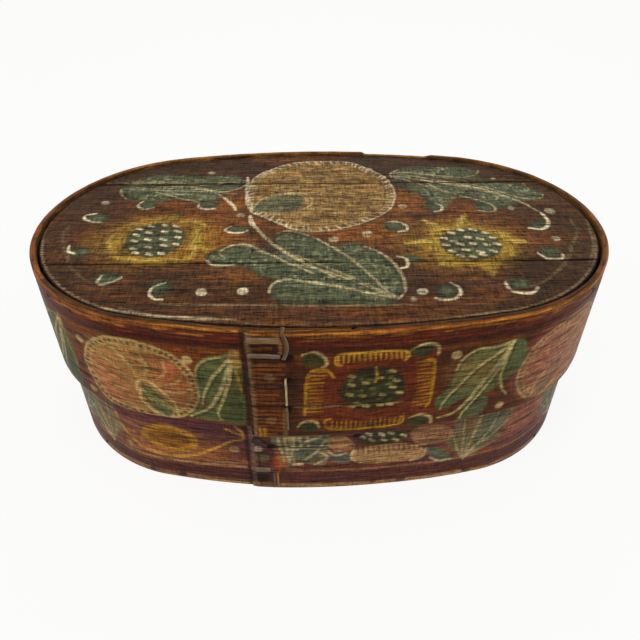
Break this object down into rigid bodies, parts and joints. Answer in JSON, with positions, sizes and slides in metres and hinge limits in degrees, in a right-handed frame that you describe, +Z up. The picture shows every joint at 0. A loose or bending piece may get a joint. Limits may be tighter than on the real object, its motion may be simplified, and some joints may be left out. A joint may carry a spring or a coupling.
{
  "type": "oval bentwood box with deep lid",
  "caption": "Oval bentwood box with flat base and deep pull-off lid; plank top and bottom pegged into steamed walls, front laps sewn with split root, worn traditional flower painting.",
  "frame": {"origin": "middle of the flat underside, on the surface the box stands on", "axes": "+X along the box's length to the right seen from the front, +Y to the back, +Z up; the sewn laps are on the -Y side"},
  "size_m": [0.45, 0.2761, 0.171],
  "materials": {
    "lid_boards": "worn satin paint on planed pine",
    "lid_wall": "worn satin paint on bent pine",
    "box_wall": "worn satin paint on bent pine",
    "bare_wood": "aged bare pine",
    "pegs": "dark aged birch",
    "root": "split root, dull"
  },
  "bodies": {
    "box": {"body_band": "box_wall", "bottom_plank_rear": "bare_wood", "bottom_plank_front": "bare_wood", "bottom_plank_dowels": "pegs", "bottom_pegs": "pegs", "body_seam_peg": "pegs", "body_lap_stitch": "root", "body_corner_strap": "root", "body_foot_strands": "root", "body_top_strap": "root"},
    "lid": {"lid_plank_rear": "lid_boards", "lid_plank_middle": "lid_boards", "lid_plank_front": "lid_boards", "lid_plank_dowels": "pegs", "lid_band": "lid_wall", "lid_pegs": "pegs", "lid_lap_strap_upper": "root", "lid_lap_strap_lower": "root", "lid_rim_strap": "root", "lid_seam_stitch_upper": "root", "lid_seam_stitch_lower": "root"}
  },
  "joints": [
    {"name": "lid_lift", "type": "slide", "parent": "box", "child": "lid", "axis": [0, 0, 1], "range_m": [0, 0.12]}
  ]
}
